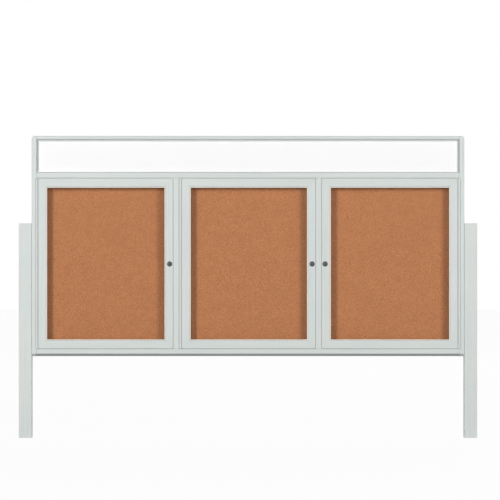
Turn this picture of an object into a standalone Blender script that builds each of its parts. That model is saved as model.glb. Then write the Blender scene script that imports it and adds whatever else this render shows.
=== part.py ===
"""Enclosed notice board: three glazed doors over cork, a blank header and two posts.

Metres, +Z up, front towards -Y. The origin lies on the ground, midway between the
posts and at the middle of the whole depth.
"""
import math

import bmesh
import bpy
from mathutils import Matrix, Vector

# Clearances
SEAT = 0.0003              # between pieces that touch
RUNNING = 0.0003           # between pieces that turn on each other
DOOR_GAP = 0.0009          # round a closed door, except at its hinge

# Posts
POST_SIZE = 0.0635
POST_WALL = 0.0030
POST_CORNER = 0.0016
POST_INNER_CORNER = 0.0008
POST_HEIGHT = 1.0582
POST_SETBACK = 0.0040      # from the case's front plane to the posts' faces
CAP_PLATE = 0.0030
CAP_PLUG_DEPTH = 0.0140
CAP_PLUG_WALL = 0.0025

# Case
CASE_BOTTOM = 0.4022       # above the ground
CASE_DEPTH = 0.0900
NOSE_RADIUS = 0.0030       # rounded outer edge of the frame
CORNER_RADIUS = 0.0125     # top corners, seen from the front
INNER_EDGE_RADIUS = 0.0012 # noses' edges beside the doors and the header
BACK_EDGE_RADIUS = 0.0010
DRIP_EDGE_RADIUS = 0.0030
REBATE_DEPTH = 0.0260      # from the case's front plane to the lip behind the doors
LIP_THICKNESS = 0.0080
LIP_WIDTH = 0.0098         # how far the lip stands inside the nose
EXTRUSION_WALL = 0.0022
LOWER_BOLT_HEIGHT = 0.1218 # above the case's bottom edge
UPPER_BOLT_DROP = 0.1342   # below the post's top
HINGE_INSET = 0.0260       # from the case's side to the hinge line
BOTTOM_NOSE = 0.0365
TRANSOM_NOSE = 0.0273
TRANSOM_LEDGE = 0.0045
SIDE_TOP_WALL = 0.0100     # closes the side rails' chambers under their rounded tops
HEADER_OPENING = 0.1497
HEADER_NOSE = 0.0160
HEADER_LIP_SETBACK = 0.0130 # from the front plane to the stop round the header panel
HEADER_LIP_THICKNESS = 0.0025
DRIP_HEIGHT = 0.0117
DRIP_DEPTH = 0.0400
SIDE_DRIP_DEPTH = 0.0160   # of the shallower recess across the side rails' feet
DRIP_END = 0.0030          # frame left standing past each end of the drip recess

# Backing and header sheets
CORK_SETBACK = 0.0600      # from the front plane to the groove that holds the cork
CORK_THICKNESS = 0.0120
BACK_THICKNESS = 0.0030
GROOVE_DEPTH = 0.0120
HEADER_THICKNESS = 0.0030
HEADER_GROOVE_DEPTH = 0.0070

# Doors: widths run from the hinge line to the middle of the free gap
LEFT_DOOR_WIDTH = 0.6712
MIDDLE_DOOR_WIDTH = 0.6672
RIGHT_DOOR_WIDTH = 0.6772
LEFT_MULLION_NOSE = 0.0325
RIGHT_MULLION_NOSE = 0.0285
HINGE_ON_LEFT = (True, True, False)
MULLION_LIP = 0.0055
MULLION_WEB = 0.0150
DOOR_HEIGHT = 0.8407
DOOR_THICKNESS = 0.0220
LEFT_HINGE_STILE = 0.0442
MIDDLE_HINGE_STILE = 0.0458
RIGHT_HINGE_STILE = 0.0429
LEFT_LOCK_STILE = 0.0386
MIDDLE_LOCK_STILE = 0.0384
RIGHT_LOCK_STILE = 0.0413
DOOR_TOP_RAIL = 0.0432
DOOR_BOTTOM_RAIL = 0.0420
DOOR_EDGE_RADIUS = 0.0018
DOOR_INNER_RADIUS = 0.0010
BEAD_WIDTH = 0.0030        # sloped inner edge of the door frame
BEAD_DROP = 0.0020
GLAZING_SETBACK = 0.0040   # from the door's front to its glazing groove
GLAZING_GROOVE = 0.0100    # groove depth into each rail
PANE_THICKNESS = 0.0040
GASKET_THICKNESS = 0.0010
GASKET_LIP = 0.0037        # gasket seen inside the metal edge
SEAL_WIDTH = 0.0040

# Hinges
BARREL_RADIUS = 0.00475
PIN_RADIUS = 0.0024
LEAF_THICKNESS = 0.0015
LEAF_DEPTH = 0.0180
TAB_SHARE = 0.6            # of the way from the case's front to the pin's bore
KNUCKLES = 13
HINGE_SIDES = 12

# Locks
LOCK_INSET = 0.0169        # from the door's free edge
LOCK_HEIGHT = 0.4179       # above the door's bottom edge
LOCK_FACE_RADIUS = 0.0130
LOCK_FACE = 0.0022
LOCK_BODY_RADIUS = 0.0092
LOCK_BODY_PROUD = 0.0010   # behind its nut
LOCK_NUT_FLATS = 0.0240
LOCK_NUT_THICKNESS = 0.0035
PLUG_RADIUS = 0.0060
KEYWAY_WIDTH = 0.0012
KEYWAY_HEIGHT = 0.0072
KEYWAY_DEPTH = 0.0100
CAM_THICKNESS = 0.0025
CAM_WIDTH = 0.0150
CAM_REACH = 0.0225
CAM_NECK_RADIUS = 0.0040
CAM_ROOT_CORNER = 0.0040
CAM_TIP_CORNER = 0.0030
CAM_TIP_SHARE = 0.7        # tip's width against the root's
CAM_NECK_PROUD = 0.0022    # peened end of the neck behind the cam
LOCK_SIDES = 32

# Post bolts
BOLT_RADIUS = 0.0040
BOLT_FLATS = 0.0130
BOLT_HEAD = 0.0053
BOLT_POST_REACH = 0.0080   # past the post's inner face
BOLT_SIDES = 16

# Derived places
DOOR_WIDTHS = (LEFT_DOOR_WIDTH, MIDDLE_DOOR_WIDTH, RIGHT_DOOR_WIDTH)
MULLION_NOSES = (LEFT_MULLION_NOSE, RIGHT_MULLION_NOSE)
HINGE_STILES = (LEFT_HINGE_STILE, MIDDLE_HINGE_STILE, RIGHT_HINGE_STILE)
LOCK_STILES = (LEFT_LOCK_STILE, MIDDLE_LOCK_STILE, RIGHT_LOCK_STILE)
HINGE_GAP = 2 * LEAF_THICKNESS + 3 * SEAT
SIDE_NOSE = HINGE_INSET - HINGE_GAP / 2
SIDE_WIDTH = SIDE_NOSE + LIP_WIDTH
BARREL_PROUD = 2 * BARREL_RADIUS + SEAT
FRONT = (BARREL_PROUD - CASE_DEPTH) / 2
BACK = FRONT + CASE_DEPTH
POST_MIDDLE = FRONT + POST_SETBACK + POST_SIZE / 2
LIP_BACK = REBATE_DEPTH + LIP_THICKNESS
HEADER_GROOVE = HEADER_THICKNESS + 2 * SEAT
CORK_GROOVE = CORK_THICKNESS + BACK_THICKNESS + 3 * SEAT
DOOR_BOTTOM = CASE_BOTTOM + BOTTOM_NOSE + DOOR_GAP
DOOR_TOP = DOOR_BOTTOM + DOOR_HEIGHT
TRANSOM_BOTTOM = DOOR_TOP + DOOR_GAP
TRANSOM_TOP = TRANSOM_BOTTOM + TRANSOM_NOSE + TRANSOM_LEDGE
HEADER_RAIL_BOTTOM = TRANSOM_TOP + HEADER_OPENING
HEADER_TOP = HEADER_RAIL_BOTTOM + LIP_WIDTH + HEADER_NOSE
CORK_LOW = CASE_BOTTOM + BOTTOM_NOSE + LIP_WIDTH - GROOVE_DEPTH + SEAT
CORK_HIGH = TRANSOM_BOTTOM - LIP_WIDTH + GROOVE_DEPTH - SEAT
BARREL_SETBACK = -(BARREL_RADIUS + SEAT)
LOCK_Z = DOOR_BOTTOM + LOCK_HEIGHT
BOLT_LEVELS = {"lower": CASE_BOTTOM + LOWER_BOLT_HEIGHT, "upper": POST_HEIGHT - UPPER_BOLT_DROP}
CUT_MARGIN = 0.0050        # how far cutters run past what they cut
OVERLAP = 0.0010           # how far solids that become one run into each other

COLOURS = {
    "satin_aluminium": ((0.64, 0.67, 0.65), 0.36, 0.9),
    "hinge_metal": ((0.60, 0.62, 0.61), 0.32, 0.95),
    "clear_pane": ((0.92, 0.95, 0.95), 0.05, 0.0),
    "cork": ((0.48, 0.20, 0.09), 0.9, 0.0),
    "white_panel": ((0.90, 0.90, 0.90), 0.4, 0.0),
    "back_sheet": ((0.55, 0.56, 0.56), 0.45, 0.8),
    "cream_gasket": ((0.78, 0.72, 0.62), 0.6, 0.0),
    "black_seal": ((0.03, 0.03, 0.03), 0.8, 0.0),
    "lock_metal": ((0.09, 0.08, 0.085), 0.35, 0.7),
    "bolt_steel": ((0.50, 0.50, 0.50), 0.35, 1.0),
}


def door_layout():
    """Hinge line and free-gap middle of each door, and each mullion's left face."""
    x = HINGE_INSET
    doors = []
    mullions = []
    for index, width in enumerate(DOOR_WIDTHS):
        left, right = x, x + width
        hinge_left = HINGE_ON_LEFT[index]
        doors.append((left, right) if hinge_left else (right, left))
        if index == len(DOOR_WIDTHS) - 1:
            x = right + HINGE_INSET
            break
        gap_before = DOOR_GAP / 2 if hinge_left else HINGE_GAP / 2
        gap_after = HINGE_GAP / 2 if HINGE_ON_LEFT[index + 1] else DOOR_GAP / 2
        mullions.append(right + gap_before)
        x = right + gap_before + MULLION_NOSES[index] + gap_after
    half = x / 2
    return ([(a - half, b - half) for a, b in doors], [m - half for m in mullions], x)


DOORS, MULLIONS, CASE_WIDTH = door_layout()


def clear_scene():
    for old in list(bpy.data.objects):
        bpy.data.objects.remove(old, do_unlink=True)


def material(name):
    found = bpy.data.materials.get(name)
    if found:
        return found.copy()
    colour, roughness, metallic = COLOURS[name]
    made = bpy.data.materials.new(name)
    made.use_nodes = True
    shader = made.node_tree.nodes["Principled BSDF"]
    shader.inputs["Base Color"].default_value = (*colour, 1)
    shader.inputs["Roughness"].default_value = roughness
    shader.inputs["Metallic"].default_value = metallic
    return made


def new_object(name, bm, finish=None):
    bmesh.ops.remove_doubles(bm, verts=bm.verts, dist=1e-6)
    bmesh.ops.recalc_face_normals(bm, faces=bm.faces)
    mesh = bpy.data.meshes.new(name)
    bm.to_mesh(mesh)
    bm.free()
    obj = bpy.data.objects.new(name, mesh)
    bpy.context.scene.collection.objects.link(obj)
    if finish:
        mesh.materials.append(material(finish))
    return obj


def empty(name, place):
    made = bpy.data.objects.new(name, None)
    made.location = place
    bpy.context.scene.collection.objects.link(made)
    return made


def fillet(corners, segments=4):
    """Outline through (a, b, radius) corners, with an arc at each radius above 0."""
    outline = []
    count = len(corners)
    for i, (a, b, radius) in enumerate(corners):
        here = Vector((a, b))
        if radius <= 0:
            outline.append(here)
            continue
        back = (Vector(corners[i - 1][:2]) - here).normalized()
        ahead = (Vector(corners[(i + 1) % count][:2]) - here).normalized()
        half_angle = back.angle(ahead) / 2
        centre = here + (back + ahead).normalized() * radius / math.sin(half_angle)
        start = here + back * radius / math.tan(half_angle) - centre
        sweep = start.angle_signed(here + ahead * radius / math.tan(half_angle) - centre)
        for step in range(segments + 1):
            turned = start.copy()
            turned.rotate(Matrix.Rotation(-sweep * step / segments, 2))
            outline.append(centre + turned)
    return outline


def section_prism(name, outline, place, starts, ends, finish=None, voids=()):
    """Prism of a closed outline of (w, v) points, with any voids, run along one axis.

    place(t, w, v) gives the world point; starts and ends give t from w.
    """
    bm = bmesh.new()
    rings = []
    edges = []
    for loop in (outline, *voids):
        ring = [bm.verts.new((p[0], p[1], 0)) for p in loop]
        rings.append(ring)
        edges += [bm.edges.new((ring[i - 1], ring[i])) for i in range(len(ring))]
    bmesh.ops.triangle_fill(bm, use_beauty=True, use_dissolve=False, edges=edges)
    first = list(bm.verts)
    flat = {v: v.co.copy() for v in first}
    grown = bmesh.ops.extrude_face_region(bm, geom=list(bm.faces))
    last = [g for g in grown["geom"] if isinstance(g, bmesh.types.BMVert)]
    for vert in last:
        w, v = vert.co.x, vert.co.y
        vert.co = place(ends(w) if callable(ends) else ends, w, v)
    for vert in bm.verts:
        if vert in flat:
            w, v = flat[vert].x, flat[vert].y
            vert.co = place(starts(w) if callable(starts) else starts, w, v)
    return new_object(name, bm, finish)


def box(name, low, high, finish=None):
    bm = bmesh.new()
    bmesh.ops.create_cube(bm, size=1)
    for vert in bm.verts:
        vert.co = Vector([low[i] if vert.co[i] < 0 else high[i] for i in range(3)])
    return new_object(name, bm, finish)


def cylinder(name, centre, axis, radius, start, end, sides, finish=None):
    """Closed cylinder about a line through centre along a world axis (0, 1 or 2)."""
    bm = bmesh.new()
    bmesh.ops.create_cone(bm, cap_ends=True, segments=sides, radius1=radius,
                          radius2=radius, depth=end - start)
    bmesh.ops.translate(bm, verts=bm.verts, vec=(0, 0, (start + end) / 2))
    turn = {0: Matrix.Rotation(math.pi / 2, 4, 'Y'),
            1: Matrix.Rotation(-math.pi / 2, 4, 'X'),
            2: Matrix.Identity(4)}[axis]
    bmesh.ops.transform(bm, matrix=turn, verts=bm.verts)
    shift = Vector(centre)
    shift[axis] = 0
    bmesh.ops.translate(bm, verts=bm.verts, vec=shift)
    return new_object(name, bm, finish)


def hide_helper(helper):
    helper.hide_render = True
    helper.display_type = 'WIRE'
    return helper


def combine(obj, other, operation):
    step = obj.modifiers.new(other.name, 'BOOLEAN')
    step.object = hide_helper(other)
    step.operation = operation
    step.solver = 'EXACT'
    return obj


def cut(obj, other):
    return combine(obj, other, 'DIFFERENCE')


def smooth(obj, degrees=35):
    obj.data.shade_smooth()
    obj.data.set_sharp_from_angle(angle=math.radians(degrees))
    return obj


def inset_void(w_low, w_high, v_low, v_high):
    """Rectangular chamber of an extrusion, its wall inside the given limits."""
    wall = EXTRUSION_WALL
    a, b = w_low + wall, w_high - wall
    c, d = v_low + wall, v_high - wall
    return [Vector((a, c)), Vector((b, c)), Vector((b, d)), Vector((a, d))]


def grooved_body(lip_front, width, grooves):
    """Inner side of a frame section from its lip to its back, with its grooves."""
    points = [(width, lip_front, 0)]
    for start, thickness, depth in grooves:
        points += [(width, start, 0), (width - depth, start, 0),
                   (width - depth, start + thickness, 0), (width, start + thickness, 0)]
    points += [(width, CASE_DEPTH, BACK_EDGE_RADIUS)]
    return points


HEADER_GROOVE_FRONT = HEADER_LIP_SETBACK + HEADER_LIP_THICKNESS
HEADER_GROOVE_BACK = HEADER_GROOVE_FRONT + HEADER_GROOVE
HEADER_CHANNEL = (HEADER_GROOVE_FRONT, HEADER_GROOVE, HEADER_GROOVE_DEPTH)
CORK_CHANNEL = (CORK_SETBACK, CORK_GROOVE, GROOVE_DEPTH)


def side_section():
    corners = [(0, 0, NOSE_RADIUS), (SIDE_NOSE, 0, INNER_EDGE_RADIUS), (SIDE_NOSE, REBATE_DEPTH, 0)]
    corners += grooved_body(REBATE_DEPTH, SIDE_WIDTH, ())
    corners += [(0, CASE_DEPTH, BACK_EDGE_RADIUS)]
    outline = fillet(corners)
    voids = [inset_void(0, SIDE_WIDTH, REBATE_DEPTH, CORK_SETBACK)]
    voids += [inset_void(EXTRUSION_WALL, SIDE_NOSE, EXTRUSION_WALL * 2, REBATE_DEPTH)]
    return outline, voids


def header_stop_section():
    """Stop that fills a side rail's rebate beside the header panel, with its groove."""
    root = SIDE_NOSE - EXTRUSION_WALL / 2
    groove = SIDE_WIDTH - HEADER_GROOVE_DEPTH
    foot = REBATE_DEPTH + EXTRUSION_WALL / 2
    corners = ((root, HEADER_LIP_SETBACK), (SIDE_WIDTH, HEADER_LIP_SETBACK),
               (SIDE_WIDTH, HEADER_GROOVE_FRONT), (groove, HEADER_GROOVE_FRONT),
               (groove, HEADER_GROOVE_BACK), (SIDE_WIDTH, HEADER_GROOVE_BACK),
               (SIDE_WIDTH, foot), (root, foot))
    return [Vector(corner) for corner in corners]


def make_side_rail(name, side):
    """side is -1 for the left rail and 1 for the right one."""
    outline, voids = side_section()
    edge = side * CASE_WIDTH / 2

    def place(t, w, v):
        return (edge - side * w, FRONT + v, t)

    rail = section_prism(name, outline, place, CASE_BOTTOM, HEADER_TOP, "satin_aluminium")
    for index, void in enumerate(voids):
        cut(rail, section_prism(f"{name}_chamber_{index}", void, place,
                                CASE_BOTTOM - CUT_MARGIN, HEADER_TOP - SIDE_TOP_WALL))
    combine(rail, section_prism(f"{name}_header_stop", header_stop_section(), place,
                                TRANSOM_TOP + SEAT, HEADER_RAIL_BOTTOM - SEAT), 'UNION')
    inner = edge - side * (SIDE_WIDTH + CUT_MARGIN)
    outer = edge + side * CUT_MARGIN
    groove = edge - side * (SIDE_WIDTH - GROOVE_DEPTH)
    cut(rail, box(name + "_cork_groove",
                  (min(inner, groove), FRONT + CORK_SETBACK, CORK_LOW - SEAT),
                  (max(inner, groove), FRONT + CORK_SETBACK + CORK_GROOVE, CORK_HIGH + SEAT)))
    drip_outer = edge - side * DRIP_END
    cut(rail, box(name + "_drip_cutter",
                  (min(inner, drip_outer), FRONT - CUT_MARGIN, CASE_BOTTOM - CUT_MARGIN),
                  (max(inner, drip_outer), FRONT + SIDE_DRIP_DEPTH, CASE_BOTTOM + DRIP_HEIGHT)))
    combine(rail, top_corner_envelope(name + "_corner_guide", side, inner, edge), 'INTERSECT')
    combine(rail, top_front_envelope(name + "_top_guide", inner, outer), 'INTERSECT')
    for label, z in BOLT_LEVELS.items():
        cut(rail, cylinder(f"{name}_{label}_hole", (0, POST_MIDDLE, z), 0, BOLT_RADIUS + SEAT,
                           min(inner, outer), max(inner, outer), BOLT_SIDES))
    return smooth(rail)


def top_corner_envelope(name, side, inner, edge):
    """Upright block whose outer top corner is rounded, seen from the front."""
    far = side * (inner - edge)
    corners = [(0, HEADER_TOP, CORNER_RADIUS), (far, HEADER_TOP, 0),
               (far, CASE_BOTTOM - CUT_MARGIN, 0), (0, CASE_BOTTOM - CUT_MARGIN, 0)]

    def place(t, w, v):
        return (edge + side * w, t, v)

    return section_prism(name, fillet(corners, 6), place, FRONT - CUT_MARGIN,
                         BACK + CUT_MARGIN)


def top_front_envelope(name, inner, outer):
    """Upright block whose top front edge is rounded, seen from the side."""
    corners = [(FRONT, HEADER_TOP, NOSE_RADIUS), (BACK, HEADER_TOP, BACK_EDGE_RADIUS),
               (BACK, CASE_BOTTOM - CUT_MARGIN, 0), (FRONT, CASE_BOTTOM - CUT_MARGIN, 0)]

    def place(t, w, v):
        return (t, w, v)

    return section_prism(name, fillet(corners), place, min(inner, outer),
                         max(inner, outer))


def cope_ends(rail, name):
    """Cut the cross rail's body back to the side rails, leaving its nose between noses."""
    for side in (-1, 1):
        reach = CASE_WIDTH / 2 - SIDE_WIDTH - SEAT
        far = CASE_WIDTH / 2 + CUT_MARGIN
        low, high = sorted((side * reach, side * far))
        cut(rail, box(f"{name}_cope_{side + 1}", (low, FRONT + REBATE_DEPTH - SEAT, 0),
                      (high, BACK + CUT_MARGIN, HEADER_TOP + CUT_MARGIN)))
    return rail


def make_cross_rail(name, base, upwards, corners, voids):
    """Cross rail between the side rails; w runs from base, up or down."""
    sign = 1 if upwards else -1
    half = CASE_WIDTH / 2 - SIDE_NOSE - SEAT

    def place(t, w, v):
        return (t, FRONT + v, base + sign * w)

    rail = section_prism(name, fillet(corners), place, -half, half,
                         "satin_aluminium", voids)
    return smooth(cope_ends(rail, name))


def make_case_bottom_rail():
    width = BOTTOM_NOSE + LIP_WIDTH
    corners = [(0, DRIP_DEPTH, 0), (DRIP_HEIGHT, DRIP_DEPTH, 0), (DRIP_HEIGHT, 0, DRIP_EDGE_RADIUS),
               (BOTTOM_NOSE, 0, INNER_EDGE_RADIUS), (BOTTOM_NOSE, REBATE_DEPTH, 0)]
    corners += grooved_body(REBATE_DEPTH, width, (CORK_CHANNEL,))
    corners += [(0, CASE_DEPTH, BACK_EDGE_RADIUS)]
    voids = [inset_void(DRIP_HEIGHT, width, REBATE_DEPTH, CORK_SETBACK),
             inset_void(0, DRIP_HEIGHT + EXTRUSION_WALL, DRIP_DEPTH, CASE_DEPTH),
             inset_void(DRIP_HEIGHT, BOTTOM_NOSE, 0, REBATE_DEPTH)]
    return make_cross_rail("case_bottom_rail", CASE_BOTTOM, True, corners, voids)


def make_transom():
    """Cross rail over the doors; w runs down from the header opening's lower edge."""
    nose_end = TRANSOM_LEDGE + TRANSOM_NOSE
    width = nose_end + LIP_WIDTH
    corners = [(0, HEADER_LIP_SETBACK, 0), (TRANSOM_LEDGE, HEADER_LIP_SETBACK, 0),
               (TRANSOM_LEDGE, 0, INNER_EDGE_RADIUS), (nose_end, 0, INNER_EDGE_RADIUS),
               (nose_end, REBATE_DEPTH, 0)]
    corners += grooved_body(REBATE_DEPTH, width, (CORK_CHANNEL,))
    corners += [(0, CASE_DEPTH, BACK_EDGE_RADIUS), (0, HEADER_GROOVE_BACK, 0),
                (HEADER_GROOVE_DEPTH, HEADER_GROOVE_BACK, 0),
                (HEADER_GROOVE_DEPTH, HEADER_GROOVE_FRONT, 0), (0, HEADER_GROOVE_FRONT, 0)]
    voids = [inset_void(0, width, REBATE_DEPTH, CORK_SETBACK),
             inset_void(HEADER_GROOVE_DEPTH, nose_end, 0, REBATE_DEPTH)]
    return make_cross_rail("case_top_rail", TRANSOM_TOP, False, corners, voids)


def make_header_rail():
    """Top rail of the header; w runs down from its top."""
    width = HEADER_NOSE + LIP_WIDTH
    corners = [(0, 0, NOSE_RADIUS), (HEADER_NOSE, 0, INNER_EDGE_RADIUS),
               (HEADER_NOSE, HEADER_LIP_SETBACK, 0)]
    corners += grooved_body(HEADER_LIP_SETBACK, width, (HEADER_CHANNEL,))
    corners += [(0, CASE_DEPTH, BACK_EDGE_RADIUS)]
    voids = [inset_void(0, width, HEADER_GROOVE_BACK, CASE_DEPTH)]
    return make_cross_rail("header_top_rail", HEADER_TOP, False, corners, voids)


def make_mullion(name, left, nose):
    """Upright between two doors: a nose, a lip behind both doors and a web to the cork."""
    centre = left + nose / 2
    half_nose, half_lip, half_web = nose / 2, nose / 2 + MULLION_LIP, MULLION_WEB / 2
    back = CORK_SETBACK
    right_side = [(half_nose, 0, INNER_EDGE_RADIUS), (half_nose, REBATE_DEPTH, 0),
                  (half_lip, REBATE_DEPTH, 0), (half_lip, LIP_BACK, 0),
                  (half_web, LIP_BACK, 0), (half_web, back, 0)]
    left_side = [(-w, v, r) for w, v, r in reversed(right_side)]
    low = CASE_BOTTOM + BOTTOM_NOSE + SEAT
    high = TRANSOM_BOTTOM - SEAT

    def place(t, w, v):
        return (centre + w, FRONT + v, t)

    voids = [inset_void(-half_nose, half_nose, 0, REBATE_DEPTH)]
    bar = section_prism(name, fillet(right_side + left_side), place, low, high,
                        "satin_aluminium", voids)
    for end, (inner, outer) in enumerate(((low + LIP_WIDTH, low - CUT_MARGIN),
                                          (high - LIP_WIDTH, high + CUT_MARGIN))):
        z_low, z_high = sorted((inner, outer))
        cut(bar, box(f"{name}_cope_{end}",
                     (centre - half_lip - CUT_MARGIN, FRONT + REBATE_DEPTH - SEAT, z_low),
                     (centre + half_lip + CUT_MARGIN, BACK, z_high)))
    return smooth(bar)


def make_sheets():
    """Cork, its backing sheet and the header panel, each in its grooves."""
    side = CASE_WIDTH / 2 - SIDE_WIDTH + GROOVE_DEPTH - SEAT
    low, high = CORK_LOW, CORK_HIGH
    cork_front = FRONT + CORK_SETBACK + SEAT
    back_front = cork_front + CORK_THICKNESS + SEAT
    box("cork_board", (-side, cork_front, low), (side, cork_front + CORK_THICKNESS, high),
        "cork")
    box("back_panel", (-side, back_front, low), (side, back_front + BACK_THICKNESS, high),
        "back_sheet")
    header_front = FRONT + HEADER_GROOVE_FRONT + SEAT
    header_side = CASE_WIDTH / 2 - SIDE_WIDTH + HEADER_GROOVE_DEPTH - SEAT
    box("header_panel",
        (-header_side, header_front, TRANSOM_TOP - HEADER_GROOVE_DEPTH + SEAT),
        (header_side, header_front + HEADER_THICKNESS,
         HEADER_RAIL_BOTTOM + HEADER_GROOVE_DEPTH - SEAT), "white_panel")


def door_member_section(width):
    """Section of a door rail or stile; w runs from the outer edge to the glazing."""
    groove_back = GLAZING_SETBACK + GASKET_THICKNESS + PANE_THICKNESS + 3 * SEAT
    corners = [(0, 0, DOOR_EDGE_RADIUS), (width - BEAD_WIDTH, 0, DOOR_INNER_RADIUS),
               (width, BEAD_DROP, 0), (width, GLAZING_SETBACK, 0),
               (width - GLAZING_GROOVE, GLAZING_SETBACK, 0),
               (width - GLAZING_GROOVE, groove_back, 0), (width, groove_back, 0),
               (width, DOOR_THICKNESS, DOOR_INNER_RADIUS),
               (0, DOOR_THICKNESS, DOOR_INNER_RADIUS)]
    voids = [inset_void(0, width - GLAZING_GROOVE, EXTRUSION_WALL / 2, DOOR_THICKNESS)]
    return fillet(corners, 3), voids


def ring(name, outer, inner, y_low, y_high, finish):
    """Flat rectangular ring; outer and inner are (x low, z low, x high, z high)."""
    def corners(r):
        return [Vector((r[0], r[1])), Vector((r[2], r[1])),
                Vector((r[2], r[3])), Vector((r[0], r[3]))]

    def place(t, w, v):
        return (w, t, v)

    return section_prism(name, corners(outer), place, y_low, y_high, finish,
                         [corners(inner)])


def make_door(index):
    """Door leaf on its hinge empty: four mitred members, gasket, pane and seal."""
    name = f"door_{index + 1}"
    hinge, free = DOORS[index]
    inward = 1 if free > hinge else -1
    hinge_edge = hinge + inward * HINGE_GAP / 2
    free_edge = free - inward * DOOR_GAP / 2
    pivot = empty(f"{name}_axis", (hinge, FRONT + BARREL_SETBACK, DOOR_BOTTOM))
    parts = []
    hinge_stile, lock_stile = HINGE_STILES[index], LOCK_STILES[index]
    for label, width, edge, direction in (("hinge_stile", hinge_stile, hinge_edge, inward),
                                          ("lock_stile", lock_stile, free_edge, -inward)):
        outline, voids = door_member_section(width)

        def place(t, w, v, edge=edge, direction=direction):
            return (edge + direction * w, FRONT + v, t)

        def low(w, width=width):
            return DOOR_BOTTOM + SEAT / 2 + w * DOOR_BOTTOM_RAIL / width

        def high(w, width=width):
            return DOOR_TOP - SEAT / 2 - w * DOOR_TOP_RAIL / width

        stile = section_prism(f"{name}_{label}", outline, place, low, high,
                              "satin_aluminium", voids)
        parts.append(smooth(stile))
    lock_side = parts[-1]
    left, right = sorted((hinge_edge, free_edge))
    left_width, right_width = (hinge_stile, lock_stile)[::inward]
    for label, width, base, sign in (("bottom_rail", DOOR_BOTTOM_RAIL, DOOR_BOTTOM, 1),
                                     ("top_rail", DOOR_TOP_RAIL, DOOR_TOP, -1)):
        outline, voids = door_member_section(width)

        def place(t, w, v, base=base, sign=sign):
            return (t, FRONT + v, base + sign * w)

        def low(w, width=width):
            return left + SEAT / 2 + w * left_width / width

        def high(w, width=width):
            return right - SEAT / 2 - w * right_width / width

        rail = section_prism(f"{name}_{label}", outline, place, low, high,
                             "satin_aluminium", voids)
        parts.append(smooth(rail))

    glass = (left + left_width, DOOR_BOTTOM + DOOR_BOTTOM_RAIL,
             right - right_width, DOOR_TOP - DOOR_TOP_RAIL)
    hold = GLAZING_GROOVE - 2 * SEAT
    grown = (glass[0] - hold, glass[1] - hold, glass[2] + hold, glass[3] + hold)
    shrunk = (glass[0] + GASKET_LIP, glass[1] + GASKET_LIP,
              glass[2] - GASKET_LIP, glass[3] - GASKET_LIP)
    gasket_front = FRONT + GLAZING_SETBACK + SEAT
    pane_front = gasket_front + GASKET_THICKNESS + SEAT
    parts.append(ring(f"{name}_gasket", grown, shrunk, gasket_front,
                      gasket_front + GASKET_THICKNESS, "cream_gasket"))
    parts.append(box(f"{name}_pane", (grown[0], pane_front, grown[1]),
                     (grown[2], pane_front + PANE_THICKNESS, grown[3]), "clear_pane"))
    seal_out = (left + SEAT, DOOR_BOTTOM + SEAT, right - SEAT, DOOR_TOP - SEAT)
    seal_in = (seal_out[0] + SEAL_WIDTH, seal_out[1] + SEAL_WIDTH,
               seal_out[2] - SEAL_WIDTH, seal_out[3] - SEAL_WIDTH)
    parts.append(ring(f"{name}_seal", seal_out, seal_in, FRONT + DOOR_THICKNESS + SEAT,
                      FRONT + REBATE_DEPTH - SEAT, "black_seal"))
    parts += make_lock(index, free_edge - inward * LOCK_INSET, inward, lock_side, pivot)
    parts.append(make_hinge(index, hinge, inward))
    for piece in parts:
        carry(piece, pivot)


def carry(piece, holder):
    piece.parent = holder
    piece.matrix_parent_inverse = Matrix.Translation(-holder.location)


def knuckle_spans(of_case):
    """Height spans of the knuckles that belong to the case leaf or to the door leaf."""
    pitch = DOOR_HEIGHT / KNUCKLES
    return [(DOOR_BOTTOM + k * pitch + RUNNING / 2, DOOR_BOTTOM + (k + 1) * pitch - RUNNING / 2)
            for k in range(KNUCKLES) if (k % 2 == 0) == of_case]


def leaf(name, hinge, side, of_case):
    """Hinge leaf: a long plate in the gap and its knuckles round the pin."""
    near = hinge + side * SEAT / 2
    far = near + side * LEAF_THICKNESS
    x_low, x_high = sorted((near, far))
    plate = box(name, (x_low, FRONT, DOOR_BOTTOM), (x_high, FRONT + LEAF_DEPTH, DOOR_TOP),
                "hinge_metal")
    centre = (hinge, FRONT + BARREL_SETBACK, 0)
    tab_reach = FRONT - (SEAT + BARREL_RADIUS - PIN_RADIUS) * TAB_SHARE
    for number, (low, high) in enumerate(knuckle_spans(of_case)):
        combine(plate, box(f"{name}_tab_{number}", (x_low, tab_reach, low),
                           (x_high, FRONT + OVERLAP, high)), 'UNION')
        combine(plate, cylinder(f"{name}_knuckle_{number}", centre, 2, BARREL_RADIUS,
                                low, high, HINGE_SIDES), 'UNION')
    cut(plate, cylinder(f"{name}_bore", centre, 2, PIN_RADIUS + RUNNING,
                        DOOR_BOTTOM - CUT_MARGIN, DOOR_TOP + CUT_MARGIN, HINGE_SIDES))
    return smooth(plate)


def make_hinge(index, hinge, inward):
    """Continuous hinge: case leaf, door leaf and pin. Returns the door's leaf."""
    number = index + 1
    leaf(f"hinge_{number}_case_leaf", hinge, -inward, True)
    smooth(cylinder(f"hinge_{number}_pin", (hinge, FRONT + BARREL_SETBACK, 0), 2, PIN_RADIUS,
                    DOOR_BOTTOM, DOOR_TOP, HINGE_SIDES, "bolt_steel"))
    return leaf(f"hinge_{number}_door_leaf", hinge, inward, False)


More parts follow.
